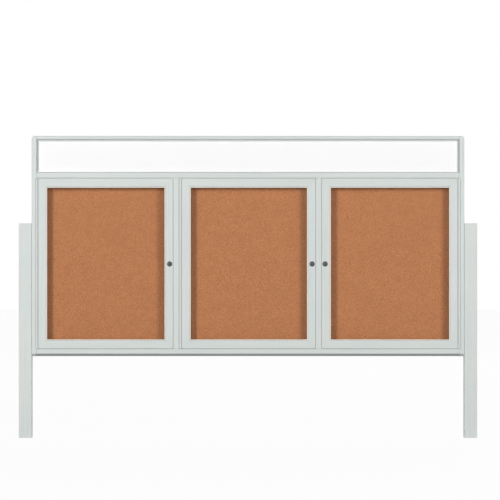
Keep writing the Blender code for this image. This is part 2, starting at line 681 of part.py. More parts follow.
def make_lock(index, x, inward, stile, pivot):
    """Cam lock through the lock stile. Returns what stays with the door."""
    name = f"lock_{index + 1}"
    centre = (x, 0, LOCK_Z)
    stile_back = FRONT + DOOR_THICKNESS
    nut_front = stile_back + SEAT
    nut_back = nut_front + LOCK_NUT_THICKNESS
    body_back = nut_back + LOCK_BODY_PROUD
    cut(stile, cylinder(f"{name}_stile_cutter", centre, 1, LOCK_BODY_RADIUS + SEAT,
                        FRONT - CUT_MARGIN, stile_back + CUT_MARGIN, LOCK_SIDES))

    face_front = FRONT - SEAT - LOCK_FACE
    housing = cylinder(f"{name}_housing", centre, 1, LOCK_FACE_RADIUS, face_front,
                       FRONT - SEAT, LOCK_SIDES, "lock_metal")
    combine(housing, cylinder(f"{name}_barrel", centre, 1, LOCK_BODY_RADIUS,
                              face_front + LOCK_FACE / 2, body_back, LOCK_SIDES), 'UNION')
    cut(housing, cylinder(f"{name}_bore", centre, 1, PLUG_RADIUS + RUNNING,
                          face_front - CUT_MARGIN, body_back + CUT_MARGIN, LOCK_SIDES))
    smooth(housing)

    nut = cylinder(f"{name}_nut", centre, 1, LOCK_NUT_FLATS / 2 / math.cos(math.pi / 6),
                   nut_front, nut_back, 6, "bolt_steel")
    cut(nut, cylinder(f"{name}_nut_bore", centre, 1, LOCK_BODY_RADIUS + SEAT,
                      nut_front - CUT_MARGIN, nut_back + CUT_MARGIN, LOCK_SIDES))

    cam_front = FRONT + LIP_BACK + 2 * SEAT
    cam_back = cam_front + CAM_THICKNESS
    plug_back = cam_front - SEAT
    plug = cylinder(f"{name}_plug", centre, 1, PLUG_RADIUS, face_front + SEAT, plug_back,
                    LOCK_SIDES, "lock_metal")
    combine(plug, cylinder(f"{name}_neck", centre, 1, CAM_NECK_RADIUS, plug_back - OVERLAP,
                           cam_back + SEAT + CAM_NECK_PROUD, 6), 'UNION')
    cut(plug, box(f"{name}_keyway",
                  (x - KEYWAY_WIDTH / 2, face_front - CUT_MARGIN, LOCK_Z - KEYWAY_HEIGHT / 2),
                  (x + KEYWAY_WIDTH / 2, face_front + KEYWAY_DEPTH,
                   LOCK_Z + KEYWAY_HEIGHT / 2)))
    smooth(plug)

    half = CAM_WIDTH / 2
    tip = half * CAM_TIP_SHARE
    corners = [(-half, half, CAM_ROOT_CORNER), (half, half, CAM_ROOT_CORNER),
               (tip, -CAM_REACH, CAM_TIP_CORNER), (-tip, -CAM_REACH, CAM_TIP_CORNER)]

    def place(t, w, v):
        return (x + w, t, LOCK_Z + v)

    cam = section_prism(f"{name}_cam", fillet(corners), place, cam_front, cam_back,
                        "bolt_steel")
    cut(cam, cylinder(f"{name}_cam_bore", centre, 1, CAM_NECK_RADIUS + SEAT,
                      cam_front - CUT_MARGIN, cam_back + CUT_MARGIN, 6))
    turning = empty(f"{name}_axis", (x, FRONT, LOCK_Z))
    turning.parent = pivot
    turning.matrix_parent_inverse = Matrix.Translation(-pivot.location)
    for piece in (plug, cam):
        piece.parent = turning
        piece.matrix_parent_inverse = Matrix.Translation(-turning.location)
    return [housing, nut]


def make_post(side_name, side):
    """Square tube post beside the case, its cap and the two bolts into it."""
    inner = side * (CASE_WIDTH / 2 + SEAT)
    centre = inner + side * POST_SIZE / 2
    half = POST_SIZE / 2
    bore = half - POST_WALL
    outline = fillet([(-half, -half, POST_CORNER), (half, -half, POST_CORNER),
                      (half, half, POST_CORNER), (-half, half, POST_CORNER)])
    hollow = fillet([(-bore, -bore, POST_INNER_CORNER), (bore, -bore, POST_INNER_CORNER),
                     (bore, bore, POST_INNER_CORNER), (-bore, bore, POST_INNER_CORNER)], 2)

    def place(t, w, v):
        return (centre + w, POST_MIDDLE + v, t)

    tube_top = POST_HEIGHT - CAP_PLATE - SEAT
    post = section_prism(f"post_{side_name}", outline, place, 0, tube_top,
                         "satin_aluminium", [hollow])
    cap = section_prism(f"post_cap_{side_name}", outline, place, POST_HEIGHT - CAP_PLATE,
                        POST_HEIGHT, "satin_aluminium")
    plug = bore - SEAT
    plug_void = plug - CAP_PLUG_WALL
    plug_outline = fillet([(-plug, -plug, POST_INNER_CORNER), (plug, -plug, POST_INNER_CORNER),
                           (plug, plug, POST_INNER_CORNER), (-plug, plug, POST_INNER_CORNER)], 2)
    combine(cap, section_prism(f"post_cap_{side_name}_plug", plug_outline, place,
                               tube_top - CAP_PLUG_DEPTH, POST_HEIGHT - CAP_PLATE / 2),
            'UNION')
    cut(cap, box(f"post_cap_{side_name}_hollow",
                 (centre - plug_void, POST_MIDDLE - plug_void,
                  tube_top - CAP_PLUG_DEPTH - CUT_MARGIN),
                 (centre + plug_void, POST_MIDDLE + plug_void, POST_HEIGHT - CAP_PLATE)))
    for label, z in BOLT_LEVELS.items():
        reach = inner + side * BOLT_POST_REACH
        seat = side * (CASE_WIDTH / 2 - SIDE_WIDTH - SEAT)
        low, high = sorted((inner - side * CUT_MARGIN, reach + side * CUT_MARGIN))
        cut(post, cylinder(f"post_{side_name}_{label}_hole", (0, POST_MIDDLE, z), 0,
                           BOLT_RADIUS + SEAT, low, high, BOLT_SIDES))
        head_low, head_high = sorted((seat, seat - side * BOLT_HEAD))
        bolt = cylinder(f"post_bolt_{side_name}_{label}", (0, POST_MIDDLE, z), 0,
                        BOLT_FLATS / 2 / math.cos(math.pi / 6), head_low, head_high, 6,
                        "bolt_steel")
        shank_low, shank_high = sorted((seat - side * BOLT_HEAD / 2, reach))
        combine(bolt, cylinder(f"post_bolt_{side_name}_{label}_shank", (0, POST_MIDDLE, z), 0,
                               BOLT_RADIUS, shank_low, shank_high, BOLT_SIDES), 'UNION')
        smooth(bolt)
    smooth(post)
    smooth(cap)


def build():
    clear_scene()
    make_side_rail("left_side_rail", -1)
    make_side_rail("right_side_rail", 1)
    make_case_bottom_rail()
    make_transom()
    make_header_rail()
    for label, left, nose in zip(("left", "right"), MULLIONS, MULLION_NOSES):
        make_mullion(f"mullion_{label}", left, nose)
    make_sheets()
    for index in range(len(DOOR_WIDTHS)):
        make_door(index)
    make_post("left", -1)
    make_post("right", 1)


build()
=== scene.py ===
"""Looks of the enclosed notice board: finishes, hinges, locks, screws, light and camera."""
import math

import bmesh
import bpy
from mathutils import Matrix, Vector


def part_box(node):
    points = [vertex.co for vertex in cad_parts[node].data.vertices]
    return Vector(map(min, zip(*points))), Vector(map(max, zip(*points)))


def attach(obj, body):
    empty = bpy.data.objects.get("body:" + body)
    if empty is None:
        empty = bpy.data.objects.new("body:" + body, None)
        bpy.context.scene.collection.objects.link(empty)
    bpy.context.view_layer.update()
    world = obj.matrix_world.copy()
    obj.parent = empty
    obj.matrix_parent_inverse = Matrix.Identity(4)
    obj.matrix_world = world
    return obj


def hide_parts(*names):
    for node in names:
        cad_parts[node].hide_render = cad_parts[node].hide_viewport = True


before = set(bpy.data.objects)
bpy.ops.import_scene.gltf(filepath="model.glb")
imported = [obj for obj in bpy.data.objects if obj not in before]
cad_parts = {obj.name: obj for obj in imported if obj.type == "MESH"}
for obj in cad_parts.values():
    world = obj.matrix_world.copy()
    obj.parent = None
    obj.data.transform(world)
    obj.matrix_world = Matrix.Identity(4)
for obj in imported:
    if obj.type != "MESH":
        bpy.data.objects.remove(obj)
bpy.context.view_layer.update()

# Lengths are in metres, unless a comment says otherwise.
DOOR_NUMBERS = (1, 2, 3)
SAME_PLACE = 0.00001            # two points nearer than this count as one place


def span(node):
    """Low and high corner of a CAD node's box."""
    low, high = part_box(node)
    return Vector(low), Vector(high)


FRONT_Y = span("case_top_rail")[0].y

# Stops of a colour ramp over a noise texture, whose values lie round the middle
SOFT_STOPS = (0.3, 0.7)
PITTED_STOPS = (0.35, 0.65)
SPECK_STOPS = (0.30, 0.38)
# A Mix node repeats its socket names for each kind of data: these are the colour ones
MIX_FIRST, MIX_SECOND, MIX_RESULT = 6, 7, 2
WHITE = (1, 1, 1)
NO_STRETCH = (1, 1, 1)
UPRIGHT_GRAIN = (1, 1, 0.012)
LEVEL_GRAIN = (0.012, 1, 1)


def new_material(name, colour, roughness, metallic=0.0):
    """Principled material with its uniform values on the shader's own sockets."""
    made = bpy.data.materials.new(name)
    made.use_nodes = True
    shader = shader_of(made)
    shader.inputs["Base Color"].default_value = (*colour, 1)
    shader.inputs["Roughness"].default_value = roughness
    shader.inputs["Metallic"].default_value = metallic
    return made


def shader_of(made):
    return made.node_tree.nodes["Principled BSDF"]


def add_node(made, kind, **settings):
    """New shader node in a material or a world."""
    node = made.node_tree.nodes.new(kind)
    for key, value in settings.items():
        setattr(node, key, value)
    return node


def link(made, source, output, target, socket):
    """Join an output of one node to an input of another."""
    made.node_tree.links.new(source.outputs[output], target.inputs[socket])


def pattern(made, kind, scale, stretch=NO_STRETCH):
    """Texture on object coordinates, of that many features per metre, drawn out by the stretch."""
    place = add_node(made, "ShaderNodeTexCoord")
    mapping = add_node(made, "ShaderNodeMapping")
    mapping.inputs["Scale"].default_value = stretch
    texture = add_node(made, kind)
    texture.inputs["Scale"].default_value = scale
    link(made, place, "Object", mapping, "Vector")
    link(made, mapping, "Vector", texture, "Vector")
    return texture


def noise(made, scale, stretch=NO_STRETCH, detail=2.0):
    """Noise texture on object coordinates."""
    texture = pattern(made, "ShaderNodeTexNoise", scale, stretch)
    texture.inputs["Detail"].default_value = detail
    return texture


def ramp(made, source, output, places, colours):
    """Colour socket of a ramp with the given colours at the given places from 0 to 1."""
    node = add_node(made, "ShaderNodeValToRGB")
    elements = node.color_ramp.elements
    while len(elements) < len(places):
        elements.new(0.5)
    for element, place, colour in zip(elements, places, colours):
        element.position = place
        element.color = (*colour, 1)
    link(made, source, output, node, "Fac")
    return node.outputs["Color"]


def shades(colour, dark, light):
    """A darker and a lighter shade of the colour, the lighter one up to white."""
    return tuple(c * dark for c in colour), tuple(min(c * light, 1) for c in colour)


def multiply_colours(made, first, second, amount=1.0):
    """Colour socket of the first colour times the second, to the given amount."""
    node = add_node(made, "ShaderNodeMix", data_type='RGBA', blend_type='MULTIPLY')
    node.inputs["Factor"].default_value = amount
    made.node_tree.links.new(first, node.inputs[MIX_FIRST])
    made.node_tree.links.new(second, node.inputs[MIX_SECOND])
    return node.outputs[MIX_RESULT]


def paint(made, colour):
    """Use a colour socket as the material's base colour."""
    made.node_tree.links.new(colour, shader_of(made).inputs["Base Color"])


def vary_roughness(made, source, low, high):
    """Let a texture move the roughness from low to high."""
    node = add_node(made, "ShaderNodeMapRange")
    node.inputs["To Min"].default_value = low
    node.inputs["To Max"].default_value = high
    link(made, source, "Fac", node, "Value")
    link(made, node, "Result", shader_of(made), "Roughness")


def add_bump(made, source, output, strength, distance):
    """Raise the surface's look by a texture, with no change to its shape."""
    node = add_node(made, "ShaderNodeBump")
    node.inputs["Strength"].default_value = strength
    node.inputs["Distance"].default_value = distance
    link(made, source, output, node, "Height")
    link(made, node, "Normal", shader_of(made), "Normal")


def satin_aluminium(name, stretch, tint=(0.555, 0.588, 0.569)):
    """Anodised extrusion: fine die lines along its length and a soft uneven sheen."""
    made = new_material(name, tint, roughness=0.5, metallic=0.25)
    lines = noise(made, scale=260.0, stretch=stretch, detail=3.0)
    clouds = noise(made, scale=5.0)
    fine = ramp(made, lines, "Fac", SOFT_STOPS, shades(tint, dark=0.95, light=1.04))
    soft = ramp(made, clouds, "Fac", SOFT_STOPS, ((0.965, 0.97, 0.975), WHITE))
    paint(made, multiply_colours(made, fine, soft))
    vary_roughness(made, lines, low=0.46, high=0.58)
    add_bump(made, lines, "Fac", strength=0.12, distance=0.0002)
    return made


def cork():
    """Pressed cork: granules of a few millimetres, dark bark specks and soft mottling."""
    made = new_material("cork", (0.48, 0.20, 0.093), roughness=0.92)
    shader_of(made).inputs["Specular IOR Level"].default_value = 0.15
    granules = pattern(made, "ShaderNodeTexVoronoi", scale=330.0)
    specks = noise(made, scale=420.0)
    mottling = noise(made, scale=28.0, detail=3.0)
    tone = ramp(made, granules, "Color", (0.0, 0.5, 1.0),
                ((0.48, 0.178, 0.066), (0.588, 0.238, 0.098), (0.675, 0.295, 0.130)))
    bark = ramp(made, specks, "Fac", SPECK_STOPS, ((0.42, 0.36, 0.32), WHITE))
    patches = ramp(made, mottling, "Fac", SOFT_STOPS, ((0.93, 0.92, 0.91), WHITE))
    speckled = multiply_colours(made, tone, bark, amount=0.8)
    paint(made, multiply_colours(made, speckled, patches))
    add_bump(made, granules, "Distance", strength=0.35, distance=0.0008)
    return made


def clear_pane():
    """Clear sheet: light goes through it, and only a thin gloss stays on it."""
    made = new_material("clear_pane", (0.20, 0.22, 0.21), roughness=0.04)
    shader_of(made).inputs["Alpha"].default_value = 0.03
    vary_roughness(made, noise(made, scale=9.0), low=0.03, high=0.08)
    made.surface_render_method = 'BLENDED'
    return made


def white_panel():
    """White sheet with a faint grain in its gloss."""
    made = new_material("white_panel", (0.98, 0.98, 0.98), roughness=0.35)
    grain = noise(made, scale=900.0)
    vary_roughness(made, grain, low=0.30, high=0.42)
    add_bump(made, grain, "Fac", strength=0.05, distance=0.0001)
    return made


def pitted_skin(made):
    """Fine pits of rubber and foam, as a bump and for the colour."""
    pits = noise(made, scale=700.0)
    add_bump(made, pits, "Fac", strength=0.3, distance=0.0003)
    return pits


def soft_strip(name, colour, roughness):
    """Rubber or foam strip with a fine pitted skin."""
    made = new_material(name, colour, roughness)
    pits = pitted_skin(made)
    paint(made, ramp(made, pits, "Fac", PITTED_STOPS, shades(colour, dark=0.88, light=1.12)))
    return made


# The drip recess along the case's lower edge, and the flap that hangs in it, whose dark grey is
# painted shade of the recess
DRIP_HEIGHT = 0.0117
DRIP_END = 0.0030               # frame standing past each end of the recess
FLAP_SETBACK = 0.0080           # from the front plane to the flap's face
FLAP_THICKNESS = 0.0020
FLAP_RISE = 0.0017              # of the flap's free edge above the case's lower edge
FLAP_GAP = 0.0003
FLAP_BEVEL = 0.0006
FLAP_HALF = span("right_side_rail")[1].x - DRIP_END - FLAP_GAP
DRIP_SHADE_FADE = 0.026               # length of the paler stretch of painted shade at each end
# painted shade: the flap's grey in the recess, paler at its ends where the painted shade thins out
DRIP_SHADE_DARK = (0.265, 0.280, 0.280)
DRIP_SHADE_PALE = (0.52, 0.55, 0.55)


def drip_painted_shade():
    """Painted shade of the drip recess: dark grey with a pitted grain, painted paler towards the
    flap's two ends.
    """
    made = new_material("drip_painted_shade", DRIP_SHADE_DARK, roughness=0.7)
    place = add_node(made, "ShaderNodeTexCoord")
    split = add_node(made, "ShaderNodeSeparateXYZ")
    distance = add_node(made, "ShaderNodeMath", operation='ABSOLUTE')
    # painted shade thins out over the last stretch at each end of the flap
    shade_fade = add_node(made, "ShaderNodeMapRange")
    shade_fade.inputs["From Min"].default_value = FLAP_HALF - DRIP_SHADE_FADE
    shade_fade.inputs["From Max"].default_value = FLAP_HALF
    link(made, place, "Object", split, "Vector")
    link(made, split, "X", distance, 0)
    link(made, distance, "Value", shade_fade, "Value")
    pits = pitted_skin(made)
    tone = ramp(made, shade_fade, "Result", (0, 1), (DRIP_SHADE_DARK, DRIP_SHADE_PALE))
    grain = ramp(made, pits, "Fac", PITTED_STOPS, ((0.90, 0.90, 0.90), WHITE))
    paint(made, multiply_colours(made, tone, grain))
    return made


def plain_metal(name, colour, roughness, metallic):
    """Small turned or stamped metal piece with fine scratches."""
    made = new_material(name, colour, roughness, metallic)
    scratches = noise(made, scale=800.0, stretch=(1, 6, 1))
    paint(made, ramp(made, scratches, "Fac", SOFT_STOPS, shades(colour, dark=0.88, light=1.10)))
    vary_roughness(made, scratches, low=roughness * 0.85, high=roughness * 1.2)
    add_bump(made, scratches, "Fac", strength=0.1, distance=0.0001)
    return made


upright_aluminium = satin_aluminium("satin_aluminium_upright", UPRIGHT_GRAIN)
level_aluminium = satin_aluminium("satin_aluminium_level", LEVEL_GRAIN)
hinge_metal = satin_aluminium("hinge_metal", UPRIGHT_GRAIN, (0.65, 0.68, 0.665))
back_finish = satin_aluminium("back_sheet", LEVEL_GRAIN, (0.50, 0.51, 0.51))
cork_finish = cork()
pane_finish = clear_pane()
panel_finish = white_panel()
# near-white cream: the gasket's own colour, and partly painted highlight along the windows' inner
# edges
gasket_and_highlight_finish = soft_strip("glazing_gasket", (0.98, 0.91, 0.81), roughness=0.6)
retainer_finish = soft_strip("header_retainer", (0.56, 0.585, 0.575), roughness=0.6)
# near-black: the doors' real seals, and the painted shade line under the header panel
seal_and_shade_finish = soft_strip("door_seal", (0.035, 0.035, 0.035), roughness=0.85)
# dark grey painted shade for the flap in the drip recess
drip_shade_finish = drip_painted_shade()
lock_finish = plain_metal("lock_metal", (0.075, 0.066, 0.071), roughness=0.38, metallic=0.6)
steel_finish = plain_metal("bright_steel", (0.52, 0.52, 0.52), roughness=0.34, metallic=0.95)


SMOOTH_BELOW = math.radians(35)


def dress_nodes():
    """Give each CAD node that stays the finish of its real piece."""
    finishes = {"cork_board": cork_finish, "back_panel": back_finish,
                "header_panel": panel_finish}
    for rail in ("case_bottom_rail", "case_top_rail", "header_top_rail"):
        finishes[rail] = level_aluminium
    for upright in ("left_side_rail", "right_side_rail", "mullion_left", "mullion_right",
                    "post_left", "post_right", "post_cap_left", "post_cap_right"):
        finishes[upright] = upright_aluminium
    for number in DOOR_NUMBERS:
        for stile in ("hinge_stile", "lock_stile"):
            finishes[f"door_{number}_{stile}"] = upright_aluminium
        for rail in ("top_rail", "bottom_rail"):
            finishes[f"door_{number}_{rail}"] = level_aluminium
        finishes[f"door_{number}_pane"] = pane_finish
        finishes[f"door_{number}_gasket"] = gasket_and_highlight_finish
        finishes[f"door_{number}_seal"] = seal_and_shade_finish
        finishes[f"lock_{number}_nut"] = steel_finish
        finishes[f"lock_{number}_cam"] = steel_finish
    for side in ("left", "right"):
        for place in ("lower", "upper"):
            finishes[f"post_bolt_{side}_{place}"] = steel_finish
    for node, finish in finishes.items():
        for slot in bpy.data.objects[node].material_slots:
            slot.material = finish


def add_piece(name, bm, finish, body, replaced=()):
    """Object made of a bmesh; it rides on a body and can take the place of CAD nodes."""
    bmesh.ops.recalc_face_normals(bm, faces=bm.faces)
    mesh = bpy.data.meshes.new(name)
    bm.to_mesh(mesh)
    bm.free()
    mesh.materials.append(finish)
    mesh.shade_smooth()
    mesh.set_sharp_from_angle(angle=SMOOTH_BELOW)
    made = bpy.data.objects.new(name, mesh)
    bpy.context.scene.collection.objects.link(made)
    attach(made, body)
    if replaced:
        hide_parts(*replaced)
    return made


def edges_at(verts):
    """The edges at the given vertices, each of them once."""
    return list(dict.fromkeys(e for v in verts for e in v.link_edges))


def bevel_edges(bm, edges, width, segments):
    """Bevel some edges and return the vertices of the faces that this makes."""
    grown = bmesh.ops.bevel(bm, geom=edges, offset=width, offset_type='OFFSET',
                            affect='EDGES', segments=segments, profile=0.5, material=-1)
    return grown["verts"]


def add_disc(bm, radius, depth, sides, chamfer, picks, segments):
    """Cylinder along Z, centred on the origin, with a bevel on each edge that picks() accepts."""
    verts = bmesh.ops.create_cone(bm, cap_ends=True, segments=sides, radius1=radius,
                                  radius2=radius, depth=depth)["verts"]
    edges = [e for e in edges_at(verts) if picks(e)]
    grown = bevel_edges(bm, edges, chamfer, segments)
    return list({v for v in verts if v.is_valid} | set(grown))


def is_level(edge):
    return abs(edge.verts[0].co.z - edge.verts[1].co.z) < SAME_PLACE


def is_on_top(edge):
    return all(v.co.z > 0 for v in edge.verts)


def add_cylinder(bm, centre, axis, radius, low, high, sides, chamfer):
    """Cylinder from low to high along axis 'Y' or 'Z', its rims bevelled."""
    verts = add_disc(bm, radius, high - low, sides, chamfer, is_level, 2)
    place = Vector(centre)
    if axis == 'Y':
        bmesh.ops.rotate(bm, cent=(0, 0, 0), matrix=Matrix.Rotation(-math.pi / 2, 3, 'X'),
                         verts=verts)
        place.y = (low + high) / 2
    else:
        place.z = (low + high) / 2
    bmesh.ops.translate(bm, verts=verts, vec=place)


def add_box(bm, low, high, bevel=0.0):
    """Box between two corners, all of its edges bevelled."""
    made = bmesh.ops.create_cube(bm, size=1)
    for vert in made["verts"]:
        vert.co = Vector([low[i] if vert.co[i] < 0 else high[i] for i in range(3)])
    if bevel:
        bevel_edges(bm, edges_at(made["verts"]), bevel, 2)


FINE_KNUCKLES = 65
KNUCKLE_SIDES = 24
KNUCKLE_GAP = 0.0003
KNUCKLE_CHAMFER = 0.0004
KNUCKLE_ROOT = 0.0010           # of a knuckle's strap that reaches in behind the front plane
LEAF_BEVEL = 0.0002


def plate_side(node):
    """X limits of a hinge leaf's flat plate, read from the CAD solid's rear edge."""
    mesh = bpy.data.objects[node].data
    rear = max(v.co.y for v in mesh.vertices)
    columns = [v.co.x for v in mesh.vertices if abs(v.co.y - rear) < SAME_PLACE]
    return min(columns), max(columns)


def make_fine_hinge(number):
    """Continuous hinge with short knuckles, in the place of its plainer CAD solids."""
    pin_low, pin_high = span(f"hinge_{number}_pin")
    centre = (pin_low + pin_high) / 2
    pitch = (pin_high.z - pin_low.z) / FINE_KNUCKLES
    for leaf, body, parity in (("case_leaf", "case", 0), ("door_leaf", f"door_{number}", 1)):
        node = f"hinge_{number}_{leaf}"
        low, high = span(node)
        radius = (high.x - low.x) / 2
        left, right = plate_side(node)
        bm = bmesh.new()
        for k in range(parity, FINE_KNUCKLES, 2):
            bottom = pin_low.z + k * pitch
            top = bottom + pitch
            add_cylinder(bm, centre, 'Z', radius, bottom + KNUCKLE_GAP / 2, top - KNUCKLE_GAP / 2,
                         KNUCKLE_SIDES, KNUCKLE_CHAMFER)
            add_box(bm, (left, centre.y + radius / 2, bottom + KNUCKLE_GAP),
                    (right, FRONT_Y + KNUCKLE_ROOT, top - KNUCKLE_GAP))
        add_box(bm, (left, FRONT_Y, low.z), (right, high.y, high.z), LEAF_BEVEL)
        replaced = (node,) if leaf == "door_leaf" else (node, f"hinge_{number}_pin")
        add_piece(f"hinge_{number}_{leaf}_fine", bm, hinge_metal, body, replaced)


GASKET_DOME = 0.0034            # rise of the gasket's lip in front of its CAD face
GASKET_FULLNESS = 0.4           # 1 is a round lip, less is a flatter one with steep sides
GASKET_STEPS = 8
GASKET_SHARE = 0.985            # of the room beside the metal edge that the lip takes


def make_fine_gasket(number):
    """Glazing gasket whose seen lip is a rounded bead pressed against the metal edge; its
    near-white cream also paints the edge highlight.
    """
    node = f"door_{number}_gasket"
    low, high = span(node)
    mesh = bpy.data.objects[node].data
    columns = sorted({round(v.co.x, 5) for v in mesh.vertices})
    rows = sorted({round(v.co.z, 5) for v in mesh.vertices})
    lip_x = (columns[1], columns[-2])
    lip_z = (rows[1], rows[-2])
    room = abs(span(f"door_{number}_bottom_rail")[1].z - lip_z[0])
    width = room * GASKET_SHARE
    profile = [(0.0, high.y)]
    for step in range(GASKET_STEPS + 1):
        turn = math.pi * step / GASKET_STEPS
        rise = GASKET_DOME * abs(math.sin(turn)) ** GASKET_FULLNESS
        profile.append((width * (1 - math.cos(turn)) / 2, low.y - rise))
    profile.append((width, high.y))
    bm = bmesh.new()
    corners = ((lip_x[0], lip_z[0], 1, 1), (lip_x[1], lip_z[0], -1, 1),
               (lip_x[1], lip_z[1], -1, -1), (lip_x[0], lip_z[1], 1, -1))
    rings = []
    for x, z, turn_x, turn_z in corners:
        verts = [bm.verts.new((x - turn_x * w, y, z - turn_z * w)) for w, y in profile]
        rings.append([bm.edges.new((verts[k - 1], verts[k])) for k in range(len(verts))])
    for ring, after in zip(rings, rings[1:] + rings[:1]):
        bmesh.ops.bridge_loops(bm, edges=ring + after)
    add_piece(f"door_{number}_gasket_fine", bm, gasket_and_highlight_finish, f"door_{number}",
              (node,))


HEADER_STOP_SETBACK = 0.0130    # from the front plane to the stops round the header panel
HEADER_LEDGE = 0.0045           # height of the stop under the header panel
HEADER_NOSE = 0.0160            # height of the header's front face above its stop
RETAINER_THICKNESS = 0.0010
RETAINER_GAP = 0.0001
RETAINER_BEVEL = 0.0003
# black strip at the header panel's foot: painted shade of a gap there
SILL_SHADE_HEIGHT = 0.0015
SILL_SHADE_PROUD = 0.0006        # in front of the strips
SILL_SHADE_BEVEL = 0.0001


def make_header_retainer():
    """Strips over the stops round the header panel: grey ones, and a white one on a black strip
    that paints the shade line at the panel's foot.
    """
    panel_low, panel_high = span("header_panel")
    rail_low, rail_high = span("header_top_rail")
    sill = span("case_top_rail")[1].z
    opening_x = panel_high.x - (sill - panel_low.z)
    outer_x = rail_high.x
    back = FRONT_Y + HEADER_STOP_SETBACK - RETAINER_GAP
    front = back - RETAINER_THICKNESS
    low = sill - HEADER_LEDGE + RETAINER_GAP
    high = rail_high.z - HEADER_NOSE - RETAINER_GAP
    strips = (((-outer_x, rail_low.z), (outer_x, high)),
              ((-outer_x, sill), (-opening_x, rail_low.z - RETAINER_GAP)),
              ((opening_x, sill), (outer_x, rail_low.z - RETAINER_GAP)))
    bm = bmesh.new()
    for (x_low, z_low), (x_high, z_high) in strips:
        add_box(bm, (x_low, front, z_low), (x_high, back, z_high), RETAINER_BEVEL)
    add_piece("header_retainer", bm, retainer_finish, "case")
    bm = bmesh.new()
    add_box(bm, (-outer_x, front, low + SILL_SHADE_HEIGHT + RETAINER_GAP),
            (outer_x, back, sill - RETAINER_GAP), RETAINER_BEVEL)
    add_piece("header_sill_strip", bm, panel_finish, "case")
    bm = bmesh.new()
    # painted shade line along the header panel's foot
    add_box(bm, (-outer_x, front - SILL_SHADE_PROUD, low),
            (outer_x, back, low + SILL_SHADE_HEIGHT), SILL_SHADE_BEVEL)
    add_piece("header_sill_shade_strip", bm, seal_and_shade_finish, "case")


def make_drip_shade_flap():
    """Flap that hangs from the roof of the drip recess; its dark grey is painted shade."""
    low = span("case_bottom_rail")[0].z
    face = FRONT_Y + FLAP_SETBACK
    bm = bmesh.new()
    add_box(bm, (-FLAP_HALF, face, low + FLAP_RISE),
            (FLAP_HALF, face + FLAP_THICKNESS, low + DRIP_HEIGHT - FLAP_GAP), FLAP_BEVEL)
    add_piece("drip_shade_flap", bm, drip_shade_finish, "case")


SCREW_SIDES = 24
SCREW_ROUNDING = 4              # segments of a head's rounded rim
CUTTER_REACH = 0.001            # of a cutter past the face that it cuts
FRAME_SCREW_RADIUS = 0.0040
FRAME_SCREW_HEAD = 0.0022       # height of the head on its face
FRAME_SCREW_RIM = 0.7           # share of that height that is rounded
FRAME_SCREW_CROSS = (0.0011, 0.0046, 0.0014)   # width, length and depth of each slot
FRAME_SCREW_SETBACKS = (0.040, 0.072)          # from the front plane
FRAME_SCREW_RISE = {"header_top_rail": 0.0070, "case_top_rail": 0.0200}   # above the rail's foot
HINGE_SCREWS = 9
HINGE_SCREW_SETBACK = 0.0115
HINGE_SCREW_RADIUS = 0.0030
HINGE_SCREW_HEAD = 0.0001
HINGE_SCREW_RIM = 0.5
HINGE_SCREW_CROSS = (0.0008, 0.0036, HINGE_SCREW_HEAD * 0.9)
HINGE_SCREW_END = 0.040         # from a leaf's end to its first screw


def add_screw_head(bm, cutters, place, side, radius, height, rim, cross):
    """Screw head on a face that looks towards +X or -X, and the cross cut into it."""
    verts = add_disc(bm, radius, height, SCREW_SIDES, height * rim, is_on_top, SCREW_ROUNDING)
    turn = Matrix.Rotation(side * math.pi / 2, 3, 'Y')
    bmesh.ops.rotate(bm, cent=(0, 0, 0), matrix=turn, verts=verts)
    x, y, z = place
    bmesh.ops.translate(bm, verts=verts, vec=(x + side * height / 2, y, z))
    width, length, depth = cross
    x_low, x_high = sorted((x + side * (height + CUTTER_REACH), x + side * (height - depth)))
    for y_half, z_half in ((width / 2, length / 2), (length / 2, width / 2)):
        add_box(cutters, (x_low, y - y_half, z - z_half), (x_high, y + y_half, z + z_half))


def cut_piece(piece, cutters):
    """Take the closed shapes in the cutters' bmesh out of a piece for good."""
    bmesh.ops.recalc_face_normals(cutters, faces=cutters.faces)
    mesh = bpy.data.meshes.new("cutter")
    cutters.to_mesh(mesh)
    cutters.free()
    tool = bpy.data.objects.new("cutter", mesh)
    bpy.context.scene.collection.objects.link(tool)
    step = piece.modifiers.new("cut", 'BOOLEAN')
    step.object = tool
    step.solver = 'EXACT'
    step.use_self = True
    bpy.context.view_layer.update()
    evaluated = piece.evaluated_get(bpy.context.evaluated_depsgraph_get())
    finished = bpy.data.meshes.new_from_object(evaluated)
    piece.modifiers.clear()
    piece.data = finished
    bpy.data.objects.remove(tool, do_unlink=True)


def make_frame_screws():
    """Pan-head screws through the side rails into the rails of the header."""
    bm, cutters = bmesh.new(), bmesh.new()
    left, right = span("left_side_rail")[0].x, span("right_side_rail")[1].x
    for side, x in ((-1, left), (1, right)):
        for rail, rise in FRAME_SCREW_RISE.items():
            z = span(rail)[0].z + rise
            for setback in FRAME_SCREW_SETBACKS:
                add_screw_head(bm, cutters, (x, FRONT_Y + setback, z), side, FRAME_SCREW_RADIUS,
                               FRAME_SCREW_HEAD, FRAME_SCREW_RIM, FRAME_SCREW_CROSS)
    screws = add_piece("frame_screws", bm, steel_finish, "case")
    cut_piece(screws, cutters)


